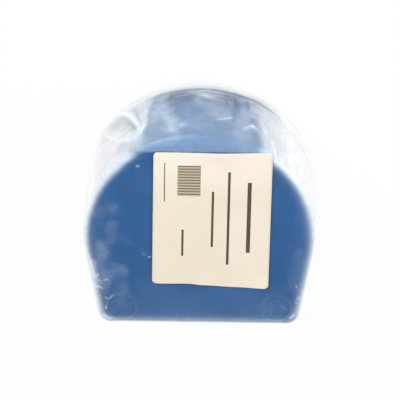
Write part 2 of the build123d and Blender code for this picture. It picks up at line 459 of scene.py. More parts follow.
def mark(points, fold, soft):
    """Strength of a fold at each point. A narrow one tapers off at its ends, a wide one has a flat middle
    and a wandering edge."""
    narrow = max(fold.widths) < NARROW
    away, way = along(points if narrow else points + soft, fold.path)
    width = np.interp(way, np.linspace(0, 1, len(fold.widths)), fold.widths)
    if narrow:
        return np.exp(-((away / width) ** 2)) * np.clip(5 * way * (1 - way) + 0.35, 0, 1)
    return np.exp(-((away / width) ** WIDE_EDGE)) * (1 + 0.35 * soft[:, 0])


def wander(place):
    """How far the edges of wide folds wander, along both ways of the film."""
    shifts = [1.2 * fractal(place, 0.2, 4, i) + 0.35 * fractal(place, 0.9, 3, i) for i in (21, 22)]
    return np.column_stack(shifts)


# ---- clear film bag: where it lies ----------------------------------------------------------------
FILM_GAP = 0.16  # off the plastic where the film is tight
FILM_SLACK = 2.2  # more than that over the round front
FILM_LEAST = 0.14  # it never lies closer than this
TOP_GAP = 0.28  # between lid and film
TOP_RELIEF = (-0.12, 0.9)  # how far below and above that gap its relief may go
SLIT_HALF = 0.03  # of the slit between the two halves
WINDOW_HALF_WIDTH = 8.9  # openings round the two hinge stations
WINDOW_HALF_HEIGHT = 8.1
LATCH_HALF_WIDTH = 9.5  # the film stands clear of the latch over this width
LATCH_HEIGHTS = (12, 31)
LATCH_ROOM = 2.5
LIFT_LINE = -35.2  # in front of this, level with the label's edge, the film lifts off the lid

HEM_CURL = 1.9  # radius of the lower edge's turn
HEM_LOW = 0.25  # height of its lowest point
HEM_TOP = 2.2  # where the wall above that turn begins
HEM_ANGLES = (-78, -62, -46, -30, -15)  # of the rows in that turn, in degrees
RIM_ANGLES = (12, 24, 36, 48, 60, 72, 82)  # of the rows in the turn over the lid's edge
LOWER_ROWS = 36  # on the wall below the slit
UPPER_ROWS = 20  # on the wall above it
FINE_STEP = 0.3  # between rows of the lid's film near its rim
FINE_RIM = 7.5  # how far in from the rim they go
TOP_ROWS = 36  # from there to the lid's middle

# over which stretch things set in or end, by the way round from the front's middle
FRONT_END = (44, 62)  # the round front
WING_END = (58, 92)  # the crumpled areas
CALM_FROM = (45, 62)  # their creases get flatter
STRIP_MIDDLE = 0.5  # the smooth strip between them, which is whiter at its sides, partly haze and partly a painted reflection
STRIP_SIDES = (8, 18)
PAINTED_SHADE_END_PLUS = (38, 50)  # painted shade of the crumpled area on the +X side
PAINTED_SHADE_END_MINUS = (22, 35)  # and on the -X side
BLUE_END = (22, 36)  # blueness of the crumpled areas
BLUE_TOP_END = (20, 32)  # and of their top
HEM_END = (17, 27)  # the grey hem, which ends sooner on the +X side
HEM_SHIFT = 5
PLEAT_PLACE = half_length - BACK_HALF_WIDTH + 1.0  # the pleats at the back corners
PLEAT_SPREAD = 5.5

# and by height
SLACK_END = 30  # above this the film hangs closer to the lid
WAVES_END = (32, 36)
FRONT_RISE = (8, 26)  # the round front gets whiter
STRIP_RISE = (12, 24)
BLUE_TOP = (27, 35)
HEM_FROM = (2.0, 7.5)
HEM_TO = (7.5, 9.5)
EDGE_CLEAR = (1.6, 5.5)  # the film's lowest edge is clear

# and on the lid by y
PAINTED_LIGHT_BACK_RISE = (12, 34)  # painted light: the film gets whiter towards the hinge side
LIFT_SOFT = (-0.8, 0.6)  # either side of LIFT_LINE
LIFT_RISE = (6, 24)  # the lifted film gets whiter towards -X

# noise on the wall, in features a millimetre
RIDGE_SCALE = 0.085
SMALL_SCALE = 0.21
CLOUD_SCALE = 0.09
FINE_SCALE = 0.45

# how far the creases, the waves of the smooth film and the pleats stand out, in millimetres
RIDGE_RELIEF = 0.18
SMALL_RELIEF = 0.06
RIDGE_LEVEL = 0.6  # the height between 0 and 1 where a crease meets the film's middle level
WAVE_RELIEF = 0.10
PLEAT_RELIEF = 0.22
PLEAT_LEVEL = 0.6
PLEAT_TURN = 2.1  # radians a millimetre, so three millimetres from pleat to pleat
LIFT_SLOPE = 0.12  # how steeply the lifted film rises, over LIFT_REACH
LIFT_REACH = 6
LID_RELIEF = 0.10

# whiteness, greyness and blueness of the film's parts, from 0 to 1
# the smooth front's whiteness: partly haze, partly a painted reflection of the pale floor
FRONT_HAZE_AND_REFLECTION = 0.19
FRONT_HAZE_AND_REFLECTION_RISE = 0.14
FRONT_GREY = 0.27
FRONT_BLUE = 0.64
SIDE_WHITE = 0.06
SIDE_BLUE = 0.22
STRIP_HAZE_AND_REFLECTION = 0.08
CRUMPLED_WHITE = 0.68
# painted shade of the folds in the crumpled areas
CRUMPLED_PAINTED_SHADE_PLUS = 0.36
CRUMPLED_PAINTED_SHADE_FALL = 0.26
CRUMPLED_PAINTED_SHADE_MINUS = 0.38
CRUMPLED_TOP_BLUE = 0.25
CRUMPLED_BLUE = 0.22
PLEAT_WHITE = 0.30
HEM_WHITE = 0.42
HEM_GREY = 0.60
LID_WHITE = 0.02
LID_PAINTED_LIGHT_BACK = 0.05
LID_BLUE = 0.65
LIFT_WHITE = 0.46
LIFT_WHITE_RISE = 0.10
LIFT_BLUE = 0.35
VEIL_BLUE = 0.45
RIM_PAINTED_SHADE = 0.09  # painted shade: less white in the middle of the turn, where it catches more light, away from the veil

# the crumpled areas either side of the round front: side, heights, how far round from the front's middle
# they begin at each height, and over how many mm they set in there
WINGS = (
    (1, (4, 11, 19, 26, 31, 38), (18, 17.5, 18.5, 19, 21, 21.5), (6.5, 5, 3, 3, 6, 11)),
    (-1, (7, 10, 17, 27, 33, 38), (19.5, 19.5, 20, 21.5, 22, 23), (8, 8, 7, 5.5, 5, 6.5)),
)

# the white veil, a painted highlight where the film turns over the lid's edge, by the way round from the
# front's middle: where it sets in, its width, and where its inner edge is crisper
RIM_PAINTED_HIGHLIGHT = 0.95
VEIL_FROM_PLUS = (21, 28)
VEIL_FROM_MINUS = (18, 27)
VEIL_BLUE_END = (48, 62)
VEIL_NEUTRAL_FROM = (52, 64)
CRISP_FROM = (10, 30)
CRISP_END = (98, 112)
CRISP_START = 0.3
VEIL = (
    (-110, 1.85), (-97, 1.75), (-84, 1.7), (-72, 1.7), (-64, 1.9), (-52, 1.9), (-45, 1.65),
    (-39, 1.45), (-32, 1.3), (-23, 1.9), (23, 1.45), (29, 1.35), (33, 1.75), (38, 1.65),
    (45, 1.6), (62, 1.5), (73, 1.5), (81, 1.8), (88, 1.5), (97, 1.7), (110, 1.85),
)

# a smooth dent in the crumpled area on the +X side, with painted shade and a bluer tint in it: its corners
# on the wall, clockwise
POCKET = (
    (39.5, 4), (32.5, 4.5), (30, 7), (27.5, 11.5), (25, 17), (22.5, 25.5), (25, 25), (29, 20), (34, 13),
)
POCKET_EDGE = 0.9
POCKET_DEPTH = 0.25
POCKET_PAINTED_SHADE = 0.15
POCKET_COOL = 0.1

# where the film clings to the lid's ring marks: how far the centres lie to the side and behind the round
# front's axis, then radius and whiteness of each line
RING_PLACE = (28.1, 29.7)
RING_LINES = ((5.35, 0.07), (3.6, 0.03))
RING_LINE_WIDTH = 0.28

# on the wall, points are the way round from the front's middle, positive to +X, and the height
WALL_FOLDS = (
    # the pocket on the +X side, and the creases round it: painted highlights on their crests, painted shade
    # beside them
    Fold([(32, 4), (28, 8.5), (25, 14.5), (23, 20.5), (21.5, 27)],
         (0.6, 0.5), out=0.5, white=0.3, painted_shade=-0.5),
    Fold([(25.5, 7), (23.5, 13), (22, 19), (21, 24)], (1, 0.7), out=-0.3, white=-0.06, painted_shade=0.22),
    Fold([(40.5, 7), (36, 16), (32.5, 22.5), (29, 27), (25, 31), (21.5, 32)],
         (0.45, 0.5), out=0.3, white=0.06, painted_shade=-0.22),
    Fold([(19.5, 26.5), (20.5, 29), (21, 31.5)], (0.6, 0.7), out=0.5, white=0.25, painted_shade=-0.35),
    Fold([(29, 29), (27, 34), (25.5, 37)], (2.2, 3), white=-0.17),
    Fold([(28, 13.5), (25, 19.5), (22.3, 26.8)], (1.05, 1.05), painted_shade=0.3),
    Fold([(28.5, 7.5), (26.5, 11), (24.5, 14.5)], (0.9, 0.8), white=0.1, painted_shade=-0.25),
    Fold([(30, 31), (26, 33.5), (22.5, 36.5)], (2, 2.4), painted_shade=0.16),
    Fold([(21.5, 9.5), (20.4, 17.5), (19.4, 23.5)], (0.9, 0.9), painted_shade=0.12),
    Fold([(19.5, 13), (19, 18), (19, 25.5)], (0.5, 0.6), out=0.2, white=0.14),
    Fold([(43.5, 13.5), (42, 16.5)], (0.6, 0.6), out=0.3, painted_shade=-0.3),
    # the smooth strip in the middle: painted shade low down at the far end, near the floor, a pale smudge,
    # fine lines with painted glints
    Fold([(10.5, 11.5), (8, 12.5), (5, 13.5)], (1.6, 3.2), white=0.06, painted_shade=0.8),
    Fold([(14.5, 6.5), (12.5, 10)], (1.6, 1.8), white=0.22, painted_shade=0.1),
    Fold([(-8.5, 12.5), (-11.5, 12)], (2.8, 1.8), white=0.08, painted_shade=0.6),
    Fold([(-13.5, 11), (-17, 10.5)], (1.6, 1.6), white=0.2),
    Fold([(-6, 8), (-13.5, 7), (-20.5, 7), (-25, 7.5), (-29.5, 7)],
         (0.5, 0.5), out=0.2, white=0.14, painted_shade=0.6),
    Fold([(4, 8.5), (1.5, 15), (-0.5, 19)], (1, 0.8), out=0.3, white=0.12),
    Fold([(3, 11), (-3.5, 12), (-8, 14)], (2, 2.8), out=0.1, white=0.36, painted_shade=0.16),
    Fold([(1.5, 13), (-2.5, 13.5)], (1.3, 1.3), white=0.1),
    Fold([(-0.5, 11.3), (-2.3, 12.9), (-4, 14.2)], (0.9, 0.9), white=0.18),
    Fold([(2, 9), (-1, 8.5), (-5, 9), (-9, 9.5)], (0.4, 0.4), out=0.2, white=0.4, painted_shade=-0.3),
    Fold([(1, 17), (-4, 20.5), (-8, 26)], (2.2, 4.2), white=0.12, painted_shade=0.08),
    Fold([(-2.5, 25), (-8, 26.5)], (2.2, 2), white=0.09),
    Fold([(-15.5, 16), (-15, 26), (-14.5, 37)], (2.6, 3.4, 3.2), white=0.13),
    Fold([(-17.5, 9), (-18.5, 19)], (2, 2), white=0.18),
    Fold([(7, 31), (-1, 33)], (2.5, 2.5), white=0.06),
    Fold([(12.5, 31.5), (10.5, 35)], (1.7, 1.8), white=0.09),
    Fold([(1.5, 14.5), (-2, 12.5)], (1.2, 1.2), white=0.06),
    Fold([(-12.5, 11), (-14.5, 11)], (1.2, 1.2), white=0.08),
    # clearer film and dark strokes in it
    Fold([(8, 17), (2.5, 23)], (3, 3), white=-0.06, painted_shade=0.05),
    Fold([(-8.5, 10), (-9, 18)], (0.7, 0.9), out=-0.3, white=-0.22, painted_shade=0.06),
    Fold([(-12, 11), (-11.5, 29)], (0.8, 0.8), out=-0.3, white=-0.2),
    Fold([(-13.2, 14.5), (-13.2, 25.5)], (0.4, 0.5), out=-0.2, white=-0.18),
    Fold([(-16.5, 9), (-16.5, 17)], (0.5, 0.5), out=-0.2, white=-0.2),
    # the pale wedge beside the crumpled area on the +X side
    Fold([(15.5, 10), (14.5, 18), (11.5, 25), (8, 33)], (3.8, 3.4, 2.4, 2.4), out=0.1, white=0.19),
    Fold([(17, 8), (16.5, 26)], (1.6, 1.4), white=0.12),
    Fold([(13.5, 20), (11.5, 27), (9, 35)], (0.6, 0.6), out=0.3, white=0.08),
    Fold([(7.2, 17), (7, 29)], (2.2, 2.2), white=-0.12),
    Fold([(9.5, 33.5), (7.8, 36.5)], (1.3, 1.3), white=0.18),
    Fold([(8.5, 7.5), (4.5, 10)], (1.5, 1.8), white=-0.05, painted_shade=0.05),
    Fold([(17, 15.5), (15.5, 18.5)], (0.6, 0.6), out=-0.2, white=-0.1, painted_shade=0.1),
    # painted highlights on the creases beside the one on the -X side, and painted shade under one of them
    Fold([(-5, 29.5), (-8, 28), (-11, 25.5)], (0.4, 0.55), out=0.3, white=0.28, painted_shade=-0.2),
    Fold([(-14.5, 32), (-17, 28.5), (-18.5, 26.5), (-20, 29.5)],
         (0.7, 0.6), out=0.4, white=0.2, painted_shade=-0.1),
    Fold([(-17, 27.5), (-19, 27.5)], (1, 1), out=0.3, white=0.28, painted_shade=-0.15),
    Fold([(-17, 25), (-18.5, 22.5), (-20, 22.5)], (0.5, 0.4), out=-0.1, white=-0.05, painted_shade=0.2),
    # the -X side: faint creases with painted highlights and painted shade
    Fold([(-21.5, 20), (-23, 23), (-24.5, 30)], (0.4, 0.5), out=0.4, white=0.2, painted_shade=-0.2),
    Fold([(-22, 23.5), (-24, 27)], (0.4, 0.4), out=0.3, white=0.1, painted_shade=-0.1),
    Fold([(-26.5, 27.5), (-27.5, 33.5), (-28.5, 36.5)], (0.5, 0.8), out=0.4, white=0.1, painted_shade=-0.15),
    Fold([(-31.5, 10), (-32.5, 29)], (1.8, 1.8), out=-0.3, painted_shade=0.1),
    Fold([(-29.5, 27.5), (-31.5, 32.5), (-33.5, 36)], (2, 2), painted_shade=0.13),
    Fold([(-25.5, 25), (-29.5, 17), (-35, 10.5)], (0.6, 0.5), out=0.4, painted_shade=-0.12),
)

# on the lid, points are (x, y)
LID_FOLDS = (
    # soft smudges at the +X side
    Fold([(38, -15), (39, -4), (38.5, 4)], (3.4, 3.4), white=0.04),
    Fold([(38, -9), (34.5, -10.5), (31.5, -12)], (2.2, 2), white=0.05),
    Fold([(31, -5), (31.5, 0), (33, 4)], (1.8, 2.2), white=0.07),
    Fold([(31.5, -4), (30, -1)], (2.2, 2), white=0.035),
    Fold([(35.2, 3), (35.3, 12), (33.5, 16)], (1.7, 2.6, 2.8), white=0.15),
    Fold([(30, 14.5), (27, 14.5)], (2.3, 1.8), white=0.10),
    Fold([(38.3, 11.5), (37.7, 16), (36.8, 21)], (1.3, 1.5), white=0.14),
    Fold([(36, 20), (35.7, 25), (34.5, 30)], (1.8, 2), white=0.045),
    Fold([(28.5, 20), (28, 27)], (2, 2.2), white=0.03),
    Fold([(31, 11), (28, 13)], (1.2, 1.2), white=0.06),
    Fold([(26.5, 17), (27, 23)], (1.3, 1.3), white=0.035),
    Fold([(35, 17.5), (34, 22)], (2, 1.8), white=0.075),
    Fold([(27.5, 0.5), (24.5, 2.5)], (1.8, 1.4), white=0.03),
    Fold([(20.5, 6.5), (19, 8)], (0.5, 0.5), white=0.13),
    # painted glints on sharp creases at the +X side
    Fold([(18, 8.2), (17.4, 8.4)], (0.35, 0.35), white=0.45),
    # a painted highlight on the bend over the lid's front edge, and less white behind it
    Fold([(17.4, -38), (14.6, -38.7), (8.3, -38.4)], (0.55, 0.55), white=0.09),
    Fold([(16.5, -39.5), (13.9, -40.3), (10.5, -40.6)], (0.8, 0.8), white=-0.09),
    # more painted glints on sharp creases at the +X side
    Fold([(22.4, -29.5), (21.3, -29.2)], (0.45, 0.45), white=0.4),
    Fold([(40, 7), (39, 10.5), (38.5, 13.5), (37.5, 16.5)], (0.28, 0.28), white=0.55),
    Fold([(37.5, 18), (37, 17), (36, 15.5)], (0.28, 0.28), white=0.4),
    Fold([(36.5, 18.5), (35, 19)], (0.25, 0.25), white=0.25),
    Fold([(34.5, 19), (33.5, 18), (32.5, 18.5)], (0.27, 0.27), white=0.3),
    Fold([(37, 21.3), (36, 21.3), (34.7, 22)], (0.28, 0.28), white=0.4),
    Fold([(34, 25.5), (33.3, 26.5), (32, 26), (31, 24.5)], (0.27, 0.27), white=0.32),
    Fold([(36, 24.5), (36, 25.7)], (0.3, 0.3), white=0.2),
    Fold([(33.7, 29.7), (33.7, 30.8)], (0.32, 0.32), white=0.5),
    Fold([(34.5, 33.5), (32.5, 35), (30, 35.7)], (0.9, 1), white=0.1),
    Fold([(34.5, 33), (33.5, 34.5), (31.5, 35)], (0.8, 0.8), white=0.28),
    # painted glints at the -X side, and faint streaks and a smudge of haze
    Fold([(-35, 19.5), (-35.5, 20.5)], (0.3, 0.3), white=0.35),
    Fold([(-36.5, 24.5), (-36.2, 25.5), (-35.5, 25.5)], (0.35, 0.35), white=0.35),
    Fold([(-35, 27), (-35.7, 27.3)], (0.3, 0.3), white=0.3),
    Fold([(-33, 34), (-34, 33), (-34.7, 32)], (0.6, 0.6), white=0.4),
    Fold([(-24, 26.5), (-24, 32)], (0.5, 0.5), white=0.04),
    Fold([(-26.5, 27), (-26, 33)], (0.45, 0.45), white=0.035),
    Fold([(-29.5, 28.5), (-32.5, 30.5)], (0.6, 0.6), white=0.05),
    Fold([(-36, 5), (-34, 20)], (2, 2.6), white=0.05),
)


# ---- clear film bag: relief and tones -------------------------------------------------------------
def wing(s, z):
    """How crumpled the film is there, from 0 to 1."""
    amount = np.zeros(len(s))
    ragged = fractal(np.column_stack([s * 0.6, z * 0.5, np.zeros(len(s))]), 0.2, 3, 12)
    for side, heights, ways, softnesses in WINGS:
        start = np.interp(z, heights, ways)
        half = np.interp(z, heights, softnesses) / 2
        amount = np.maximum(amount, smooth(side * s + 0.7 * ragged, start - half, start + half))
    return amount * (1 - smooth(np.abs(s) + 9 * ragged, *WING_END))


def gather(s):
    """Pleats at the back corners, from 0 to 1."""
    return np.exp(-(((np.abs(s) - PLEAT_PLACE) / PLEAT_SPREAD) ** 2))


def stand_off(s, z):
    """How far the film hangs off the case's widest outline."""
    bearing = np.clip(s / FRONT_RADIUS, -math.pi / 2, math.pi / 2)
    slack = FILM_SLACK * np.cos(bearing) * (1 - 0.5 * smooth(z, SLACK_END, CASE_HEIGHT))
    return FILM_GAP + slack - DRAFT * np.abs(z - PARTING) * 0.6


def hem(s, z):
    """The loose film below the case's front edge, from 0 to 1."""
    level = smooth(z, *HEM_FROM) * (1 - smooth(z, *HEM_TO))
    return level * (1 - smooth(np.where(s > 0, s + HEM_SHIFT, -s), *HEM_END))


def on_wall(s, z):
    """Points for the wall's noise."""
    return np.column_stack([s * 0.9, z, np.zeros(len(s))])


def add_wall_folds(s, z, relief, haze_and_painted_light, shade, cool):
    """Changes the wall's relief and tones in place by its folds and its pocket, with their painted
    highlights and painted shade.
    """
    flat = np.column_stack([s, z])
    soft = wander(on_wall(s, z))
    for fold in WALL_FOLDS:
        ridge = mark(flat, fold, soft)
        relief += fold.out * ridge
        haze_and_painted_light += fold.white * ridge
        shade += fold.painted_shade * ridge
        cool *= 1 - ridge * np.clip(1.3 * fold.white + fold.painted_shade, 0, 1)
    dent = inside(flat, POCKET, POCKET_EDGE)
    relief -= POCKET_DEPTH * dent
    shade += POCKET_PAINTED_SHADE * dent
    cool += POCKET_COOL * dent


def wall_relief(s, z):
    """Relief, whiteness, greyness and blueness of the film on the wall; these hold painted highlights, a
    painted reflection and painted shade.
    """
    place = on_wall(s, z)
    away = np.abs(s)
    crumpled = wing(s, z)
    pleats = gather(s)
    front = 1 - smooth(away, *FRONT_END)
    ridges = creases(place * (1, 0.75, 1), RIDGE_SCALE, 1)
    small = creases(place * (1, 0.55, 1), SMALL_SCALE, 2)
    cloud = fractal(place * (1, 0.6, 1), CLOUD_SCALE, 3, 5)
    fine = fractal(place, FINE_SCALE, 3, 6)
    # relief: creases in the crumpled areas, gentle waves between them, pleats at the back corners
    calm = np.where(s > 0, 1, 0.6) * (1 - 0.6 * smooth(away, *CALM_FROM))
    ridge_relief = RIDGE_RELIEF * (ridges - RIDGE_LEVEL) + SMALL_RELIEF * (small - RIDGE_LEVEL)
    relief = crumpled * calm * ridge_relief
    waves = fractal(place, 0.13, 2, 3)
    relief += (1 - crumpled) * WAVE_RELIEF * waves * (1 - smooth(z, *WAVES_END))
    pleat_waves = np.sin(s * PLEAT_TURN + 0.8 * fractal(place, 0.12, 2, 4))
    relief += pleats * PLEAT_RELIEF * (pleat_waves - PLEAT_LEVEL)
    # whiteness: little on the smooth front, partly haze and partly a painted reflection of the pale floor,
    # less on the sides, most where the film is crumpled
    haze_and_painted_light = front * (FRONT_HAZE_AND_REFLECTION + FRONT_HAZE_AND_REFLECTION_RISE * smooth(z, *FRONT_RISE) + 0.06 * cloud + 0.03 * fine)
    haze_and_painted_light += (1 - front) * (SIDE_WHITE + 0.10 * np.clip(ridges - 0.35, 0, 1))
    by_strip = smooth(np.abs(s - STRIP_MIDDLE), *STRIP_SIDES)
    haze_and_painted_light += front * STRIP_HAZE_AND_REFLECTION * by_strip * smooth(z, *STRIP_RISE)
    haze_and_painted_light += crumpled * (CRUMPLED_WHITE + 0.04 * (ridges - RIDGE_LEVEL))
    haze_and_painted_light += pleats * (PLEAT_WHITE + 0.2 * smooth(small, 0.5, 1))
    # greyness: painted shade of the folds in the crumpled areas near the front, and a little grey between
    # them
    fold_shade_plus = CRUMPLED_PAINTED_SHADE_PLUS - CRUMPLED_PAINTED_SHADE_FALL * smooth(s, *PAINTED_SHADE_END_PLUS)
    fold_shade_minus = CRUMPLED_PAINTED_SHADE_MINUS * (1 - smooth(-s, *PAINTED_SHADE_END_MINUS))
    painted_fold_shade = np.where(s > 0, fold_shade_plus, fold_shade_minus)
    shade = crumpled * (painted_fold_shade + 0.05 * cloud + 0.05 * fine) + (1 - crumpled) * FRONT_GREY * front
    # blueness: painted light, the plastic's blue sent back through thin haze
    cool = (1 - crumpled) * (SIDE_BLUE + FRONT_BLUE * front)
    cool += CRUMPLED_BLUE * crumpled * (1 - smooth(away, *BLUE_END))
    cool += CRUMPLED_TOP_BLUE * crumpled * smooth(z, *BLUE_TOP) * (1 - smooth(away, *BLUE_TOP_END))
    add_wall_folds(s, z, relief, haze_and_painted_light, shade, cool)
    # the hem is grey over the round front, and the film's lowest edge is clear
    loose = hem(s, z)
    haze_and_painted_light = (haze_and_painted_light + HEM_WHITE * loose) * smooth(z, *EDGE_CLEAR)
    shade += HEM_GREY * loose
    cool *= 1 - 0.7 * loose
    return relief, haze_and_painted_light, shade, cool


def painted_rim_highlight(s, way_in):
    """Whiteness of the film where it turns over the lid's edge, a painted highlight, by the way round and
    the way in from its widest outline. Its inner edge is crisper on the +X side."""
    crisp = smooth(s, *CRISP_FROM) * (1 - smooth(s, *CRISP_END))
    width = np.interp(s, *zip(*VEIL))
    way_in = np.maximum(way_in - CRISP_START * crisp, 0)
    return RIM_PAINTED_HIGHLIGHT * np.exp(-((way_in / width) ** (1.5 + 0.5 * crisp)))


def lid_relief(xy):
    """Relief, whiteness and blueness of the film on the lid; the whiteness holds painted glints and a
    painted light towards the hinge side.
    """
    x, y = xy.T
    place = np.column_stack([xy, np.zeros(len(xy))])
    relief = LID_RELIEF * fractal(place, 0.11, 3, 7)
    haze_and_painted_light = LID_WHITE + 0.015 * fractal(place, 0.08, 3, 9) + 0.012 * fractal(place, 0.5, 3, 10)
    # painted light, whiter towards the hinge side
    haze_and_painted_light += LID_PAINTED_LIGHT_BACK * smooth(y, *PAINTED_LIGHT_BACK_RISE)
    ragged = 0.2 * fractal(place, 0.2, 2, 13)
    lifted = 1 - smooth(y + ragged, *[LIFT_LINE + soft for soft in LIFT_SOFT])
    haze_and_painted_light += (LIFT_WHITE + LIFT_WHITE_RISE * smooth(-x, *LIFT_RISE)) * lifted
    relief = relief * (1 - lifted) + LIFT_SLOPE * np.clip(LIFT_LINE - y, 0, LIFT_REACH)
    cool = LID_BLUE + LIFT_BLUE * lifted
    soft = wander(place)
    for fold in LID_FOLDS:
        ridge = mark(xy, fold, soft)
        relief += ridge * (0.2 if max(fold.widths) < NARROW else 0)
        haze_and_painted_light += fold.white * ridge
        cool *= 1 - np.clip(ridge * (0.6 if fold.white > 0.2 else 0.2), 0, 1)
    ring = np.hypot(np.abs(x) - RING_PLACE[0], y - RING_PLACE[1])
    for radius, whiteness in RING_LINES:
        haze_and_painted_light += whiteness * np.exp(-(((ring - radius) / RING_LINE_WIDTH) ** 2))
    return relief, haze_and_painted_light, cool


# ---- clear film bag: its two halves ---------------------------------------------------------------
# the film's haze with its painted highlights and light, its painted shade, and its blue tint of painted
# light
TONES = ("haze_and_painted_light", "shade", "cool")
MOST_TONE = 0.96
LID_MIDDLE_TONES = (0.02, 0.0, 0.35)  # of the last point, in the middle of the lid


def in_window(middle):
    """Whether a face's middle lies in one of the openings round the hinge stations."""
    across = (abs(middle[0]) - HINGE_OFFSET) / WINDOW_HALF_WIDTH
    up = (middle[2] - PARTING) / WINDOW_HALF_HEIGHT
    return middle[1] > BACK_OFFSET - 1 and across**6 + up**6 < 1


def film_mesh(name, rows, closing=None):
    """A sheet from rows of points and tones round the case; closing is a last single point."""
    points = np.concatenate([row[0] for row in rows])
    tones = [np.concatenate([row[i] for row in rows]) for i in (1, 2, 3)]
    faces = []
    for i in range(len(rows) - 1):
        for j in range(columns):
            k = (j + 1) % columns
            quad = (i * columns + j, i * columns + k, (i + 1) * columns + k, (i + 1) * columns + j)
            if not in_window(points[list(quad)].mean(axis=0)):
                faces.append(quad)
    if closing is not None:
        last = (len(rows) - 1) * columns
        points = np.vstack([points, closing])
        tones = [np.append(values, tone) for values, tone in zip(tones, LID_MIDDLE_TONES)]
        faces += [(last + j, last + (j + 1) % columns, len(points) - 1) for j in range(columns)]
    mesh = bpy.data.meshes.new(name)
    mesh.from_pydata([tuple(p) for p in points * MM], [], faces)
    for attribute, values in zip(TONES, tones):
        layer = mesh.attributes.new(attribute, "FLOAT", "POINT")
        layer.data.foreach_set("value", np.clip(values, 0, MOST_TONE).astype(np.float32))
    mesh.shade_smooth()
    return new_object(name, mesh, film)


def wall_row(z, tuck=0.0):
    """Points and tones of one row of film at that height, moved in by tuck."""
    s = way_round
    heights = np.full(columns, float(z))
    relief, haze_and_painted_light, shade, cool = wall_relief(s, heights)
    low, high = LATCH_HEIGHTS
    by_latch = (np.abs(s) < LATCH_HALF_WIDTH) & (z > low) & (z < high)
    off = np.maximum(stand_off(s, heights) + relief, np.where(by_latch, LATCH_ROOM, FILM_LEAST)) - tuck
    return np.column_stack([edge_x + out_x * off, edge_y + out_y * off, heights]), haze_and_painted_light, shade, cool


def lower_film():
    """The half round the base: its curled hem, then the wall up to the slit."""
    rows = []
    for angle in HEM_ANGLES:
        turn = math.radians(angle)
        z = HEM_LOW + HEM_CURL + HEM_CURL * math.sin(turn)
        rows.append(wall_row(z, HEM_CURL * (1 - math.cos(turn))))
    for z in np.linspace(HEM_TOP, PARTING - SLIT_HALF, LOWER_ROWS):
        rows.append(wall_row(z))
    return film_mesh("film_bag_lower", rows)


def over_lid(relief):
    """Height of the film over the lid."""
    return CASE_HEIGHT + TOP_GAP + np.clip(relief, *TOP_RELIEF)


# the lid's rim: the inner edge of its rounding, how far the veil of painted highlight shows, and the tints
# of the veil's edge
rim_inset = RIM_ROUND + DRAFT * (CASE_HEIGHT - PARTING)
rim_x = edge_x - out_x * rim_inset
rim_y = edge_y - out_y * rim_inset
veil_plus, veil_minus = smooth(way_round, *VEIL_FROM_PLUS), smooth(-way_round, *VEIL_FROM_MINUS)
veil_share = np.where(way_round > 0, veil_plus, veil_minus)
veil_blue = VEIL_BLUE * veil_share * (1 - smooth(np.abs(way_round), *VEIL_BLUE_END))
veil_neutral = smooth(np.abs(way_round), *VEIL_NEUTRAL_FROM)


def rim_rows(wall_points, wall_haze_and_light, wall_shade, wall_cool):
    """The turn over the lid's edge, from the wall's last row."""
    rows = []
    out = np.hypot(wall_points[:, 0] - rim_x, wall_points[:, 1] - rim_y)
    rise = over_lid(lid_relief(np.column_stack([rim_x, rim_y]))[0]) - CASE_HEIGHT + RIM_ROUND
    for angle in RIM_ANGLES:
        turn = math.radians(angle)
        share = angle / 90
        reach = out * math.cos(turn)
        x, y = rim_x + out_x * reach, rim_y + out_y * reach
        z = (CASE_HEIGHT - RIM_ROUND) + rise * math.sin(turn)
        lid_haze_and_light, lid_cool = lid_relief(np.column_stack([x, y]))[1:]
        haze_and_painted_light = wall_haze_and_light * (1 - share) + lid_haze_and_light * share
        # painted shade in the middle of the turn
        haze_and_painted_light -= RIM_PAINTED_SHADE * (1 - veil_share) * math.sin(2 * turn)
        haze_and_painted_light = np.maximum(haze_and_painted_light, veil_share * (lid_haze_and_light + painted_rim_highlight(way_round, rim_inset - reach)))
        cool = wall_cool * (1 - share) + lid_cool * (1 - veil_neutral * (1 - share)) * share
        cool = np.maximum(cool, veil_blue * share)
        rows.append((np.column_stack([x, y, z]), haze_and_painted_light, wall_shade * (1 - share), cool))
    return rows


def top_rows():
    """The flat top from the rim inwards, its rows close together where the veil's edge is."""
    rows = []
    reach = np.hypot(rim_x, rim_y)
    coarse = np.linspace(FINE_RIM, reach.max(), TOP_ROWS)[:-1]
    for step in np.concatenate([np.arange(0, FINE_RIM, FINE_STEP), coarse]):
        w = step / reach.max()
        x, y = rim_x * (1 - w), rim_y * (1 - w)
        relief, haze_and_painted_light, cool = lid_relief(np.column_stack([x, y]))
        veil = veil_share * painted_rim_highlight(way_round, rim_inset + w * reach)
        cool = cool * (1 - veil_neutral * np.clip(2 * veil, 0, 1))
        cool = np.maximum(cool, veil_blue * np.clip(3 * veil, 0, 1))
        rows.append((np.column_stack([x, y, over_lid(relief)]), haze_and_painted_light + veil, np.zeros(columns), cool))
    return rows


def upper_film():
    """The half round the lid: the wall from the slit up, the turn over the lid's edge, and the flat top."""
    heights = np.linspace(PARTING + SLIT_HALF, CASE_HEIGHT - RIM_ROUND, UPPER_ROWS)
    rows = [wall_row(z) for z in heights]
    rows += rim_rows(*rows[-1]) + top_rows()
    return film_mesh("film_bag_upper", rows, (0, 0, CASE_HEIGHT + TOP_GAP))


def drop_loose(piece):
    """Takes out points that no face uses."""
    used = set()
    for polygon in piece.data.polygons:
        used.update(polygon.vertices)
    unused = [v.index for v in piece.data.vertices if v.index not in used]
    work = bmesh.new()
    work.from_mesh(piece.data)
    work.verts.ensure_lookup_table()
    bmesh.ops.delete(work, geom=[work.verts[i] for i in unused], context="VERTS")
    work.to_mesh(piece.data)
    work.free()


bag_lower = lower_film()
bag_upper = upper_film()
for bag, body, node_name in ((bag_lower, "base", "film_lower"), (bag_upper, "lid", "film_upper")):
    drop_loose(bag)
    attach(bag, body)
    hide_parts(node_name)


